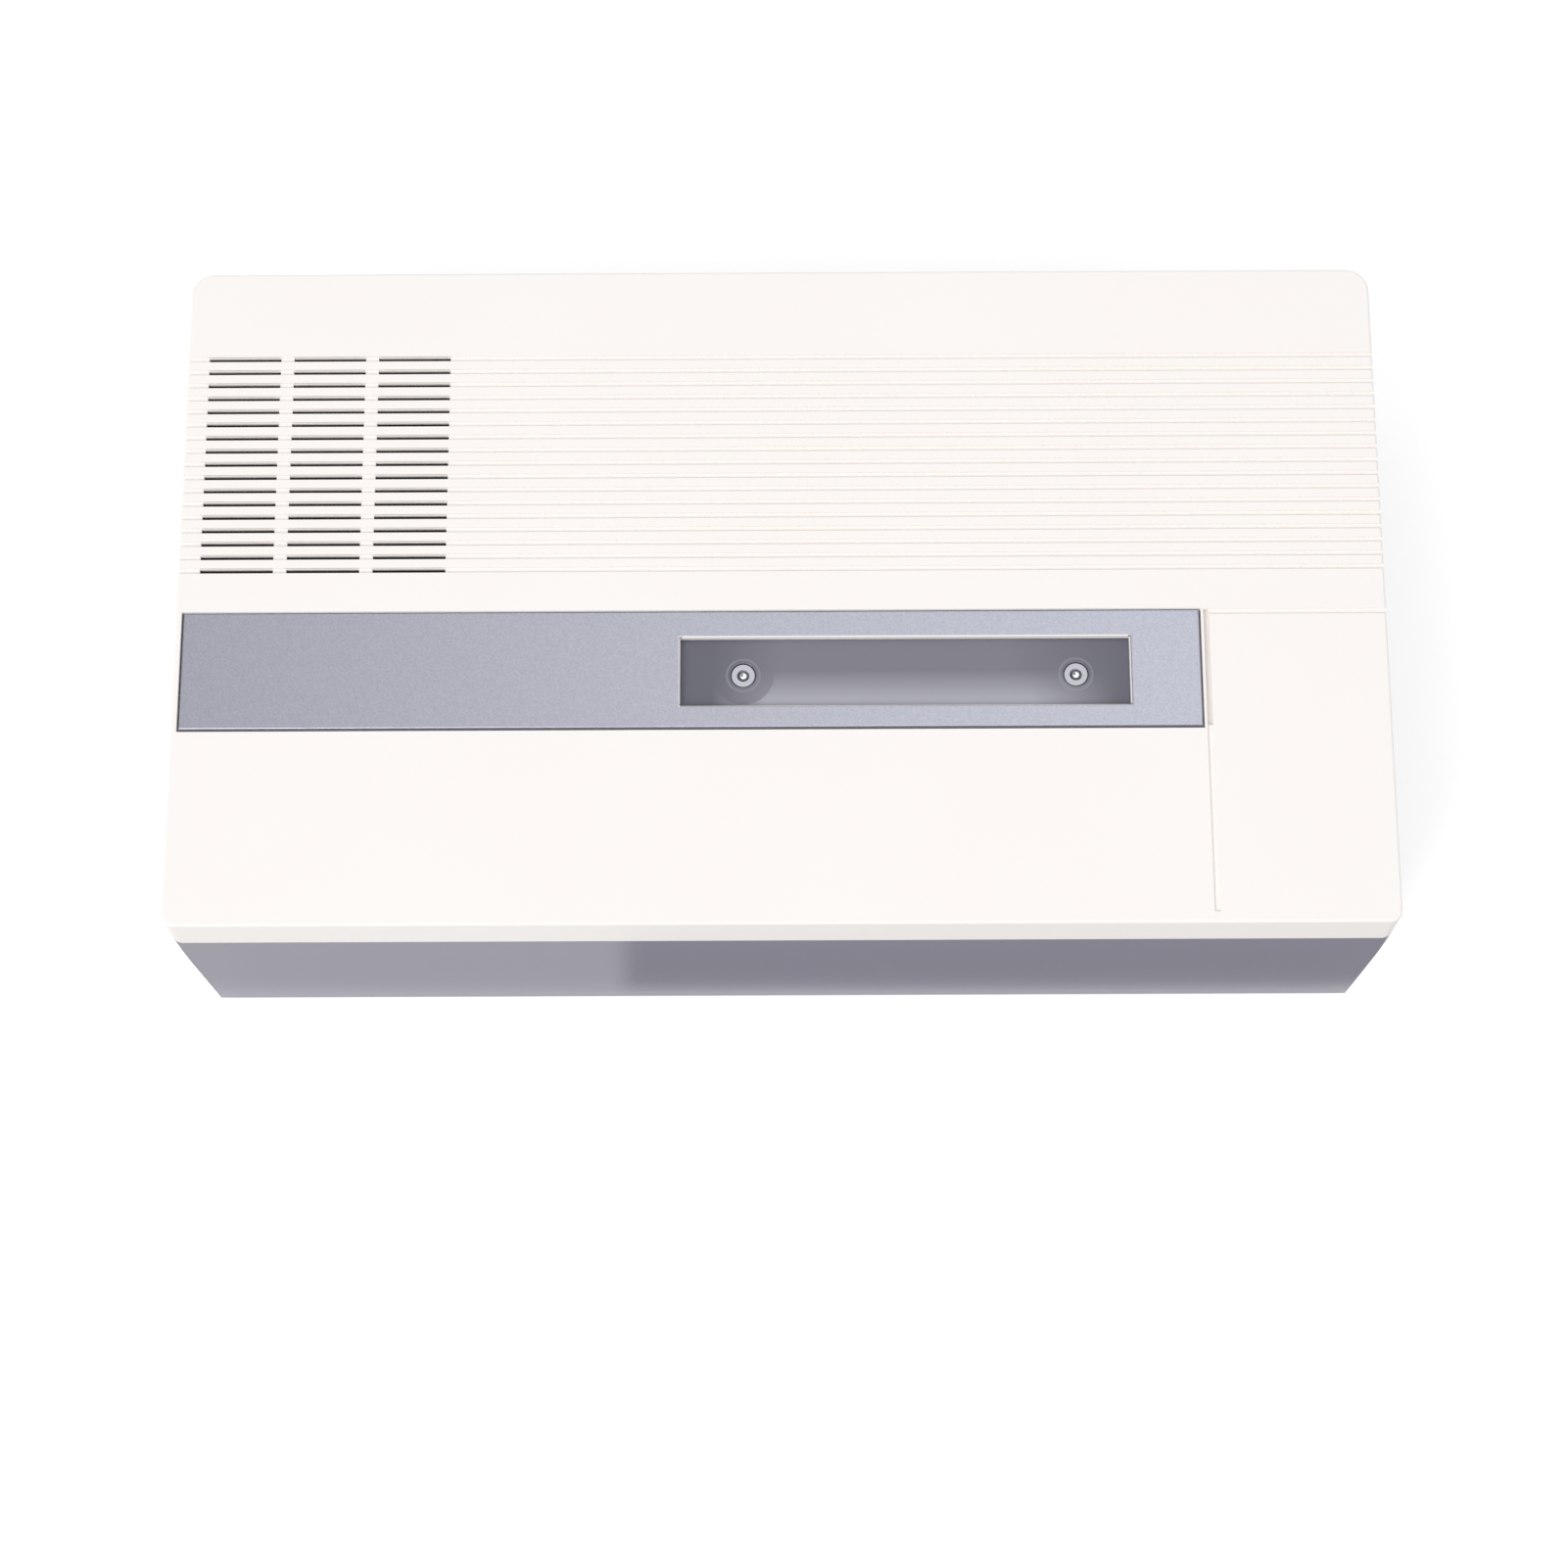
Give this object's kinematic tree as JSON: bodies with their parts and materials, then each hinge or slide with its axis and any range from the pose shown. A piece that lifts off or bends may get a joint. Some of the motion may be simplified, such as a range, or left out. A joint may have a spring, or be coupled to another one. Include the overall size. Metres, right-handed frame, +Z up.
{
  "type": "portable cassette player",
  "caption": "Portable cassette player: hinged white lid with ribs, speaker grille and a grey window strip over the reel spindles, grey tub with tape drive, back keys and headphone jack.",
  "frame": {"origin": "middle of the outline, keys included, on the surface that the feet rest on", "axes": "+X to the right along the front, +Y to the back where the hinge and keys are, +Z up"},
  "size_m": [0.155, 0.094, 0.0418],
  "materials": {
    "white_shell": "smooth satin moulding",
    "grey_shell": "satin moulding",
    "strip_paint": "fine metallic paint",
    "smoked_pane": "smoked acrylic, polished",
    "speaker_cloth": "black acoustic cloth",
    "rubber_black": "moulded rubber",
    "sheet_steel": "plated sheet",
    "polished_steel": "polished",
    "zinc_screws": "zinc plated",
    "brass_bush": "turned",
    "flywheel_metal": "die cast and turned",
    "deck_plastic": "black moulding",
    "sleeve_plastic": "light grey moulding",
    "pale_plastic": "natural nylon",
    "key_plastic": "dark grey moulding",
    "magnet_ferrite": "ferrite",
    "cone_paper": "pressed paper",
    "board_laminate": "solder resist",
    "cell_wrap": "shrink film"
  },
  "bodies": {
    "base": {"tub": "grey_shell", "feet": "rubber_black", "hinge_pins": "polished_steel", "deck_plate": "deck_plastic", "deck_screws": "zinc_screws", "reel_bushes": "brass_bush", "capstan_bearing": "brass_bush", "thrust_bracket": "sheet_steel", "thrust_pad": "pale_plastic", "bracket_screws": "zinc_screws", "motor": "sheet_steel", "motor_screws": "zinc_screws", "drive_belt": "rubber_black", "takeup_belt": "rubber_black", "carriage_studs": "zinc_screws", "play_spring": "polished_steel", "forward_spring": "polished_steel", "stop_spring": "polished_steel", "key_bracket": "sheet_steel", "motor_switch": "deck_plastic", "speaker_frame": "deck_plastic", "speaker_magnet": "magnet_ferrite", "speaker_cone": "cone_paper", "speaker_gasket": "rubber_black", "main_board": "board_laminate", "board_parts": "deck_plastic", "board_screws": "zinc_screws", "headphone_jack": "deck_plastic", "charging_socket": "polished_steel", "volume_pot": "deck_plastic", "battery_pack": "cell_wrap"},
    "lid": {"lid": "white_shell", "accent_strip": "strip_paint", "window_pane": "smoked_pane", "grille_cloth": "speaker_cloth", "cassette_springs": "sheet_steel"},
    "takeup_reel": {"takeup_shaft": "polished_steel", "takeup_sleeve": "sleeve_plastic", "takeup_pulley": "pale_plastic"},
    "supply_reel": {"supply_shaft": "polished_steel", "supply_sleeve": "sleeve_plastic", "supply_clip": "zinc_screws"},
    "flywheel": {"flywheel": "flywheel_metal", "capstan": "polished_steel"},
    "motor_rotor": {"motor_shaft": "polished_steel", "motor_pulley": "brass_bush"},
    "carriage": {"head_carriage": "sheet_steel", "play_head": "polished_steel", "head_screws": "zinc_screws", "pinch_pivot": "polished_steel"},
    "pinch_arm": {"pinch_arm": "sheet_steel", "pinch_axle": "polished_steel"},
    "pinch_roller": {"pinch_roller": "rubber_black"},
    "play_key": {"play_key": "key_plastic"},
    "forward_key": {"forward_key": "key_plastic"},
    "stop_key": {"stop_key": "key_plastic"},
    "volume_wheel": {"volume_wheel": "key_plastic"}
  },
  "joints": [
    {"name": "lid_hinge", "type": "hinge", "parent": "base", "child": "lid", "pos_m": [0, 0.04235, 0.03335], "axis": [-1, 0, 0], "range_deg": [0, 95]},
    {"name": "flywheel_spin", "type": "hinge", "parent": "base", "child": "flywheel", "pos_m": [-0.00405, 0.01555, 0], "axis": [0, 0, 1], "continuous": true},
    {"name": "motor_spin", "type": "hinge", "parent": "base", "child": "motor_rotor", "pos_m": [0.05805, 0.01125, 0], "axis": [0, 0, 1], "continuous": true},
    {"name": "takeup_spin", "type": "hinge", "parent": "base", "child": "takeup_reel", "pos_m": [-0.0048, -0.01385, 0], "axis": [0, 0, 1], "continuous": true},
    {"name": "supply_spin", "type": "hinge", "parent": "base", "child": "supply_reel", "pos_m": [0.0377, -0.01385, 0], "axis": [0, 0, 1], "continuous": true},
    {"name": "carriage_slide", "type": "slide", "parent": "base", "child": "carriage", "axis": [0, -1, 0], "range_m": [0, 0.005]},
    {"name": "pinch_swing", "type": "hinge", "parent": "carriage", "child": "pinch_arm", "pos_m": [-0.01605, 0.03065, 0], "axis": [0, 0, 1], "range_deg": [0, 5], "stiffness_Nm_per_rad": 0.05},
    {"name": "pinch_spin", "type": "hinge", "parent": "pinch_arm", "child": "pinch_roller", "pos_m": [-0.00405, 0.02735, 0], "axis": [0, 0, 1], "continuous": true},
    {"name": "play_key_slide", "type": "slide", "parent": "base", "child": "play_key", "axis": [0, -1, 0], "range_m": [0, 0.005], "stiffness_N_per_m": 120, "deforming": ["play_spring"]},
    {"name": "forward_key_slide", "type": "slide", "parent": "base", "child": "forward_key", "axis": [0, -1, 0], "range_m": [0, 0.005], "stiffness_N_per_m": 120, "deforming": ["forward_spring"]},
    {"name": "stop_key_slide", "type": "slide", "parent": "base", "child": "stop_key", "axis": [0, -1, 0], "range_m": [0, 0.005], "stiffness_N_per_m": 120, "deforming": ["stop_spring"]},
    {"name": "volume_turn", "type": "hinge", "parent": "base", "child": "volume_wheel", "pos_m": [-0.0561, 0.03445, 0], "axis": [0, 0, 1], "range_deg": [-135, 135]}
  ],
  "couplings": [
    {"joint": "motor_spin", "follows": "flywheel_spin", "ratio": 3.9621},
    {"joint": "takeup_spin", "follows": "flywheel_spin", "ratio": 0.4403},
    {"joint": "play_key_slide", "follows": "carriage_slide", "ratio": 1}
  ]
}
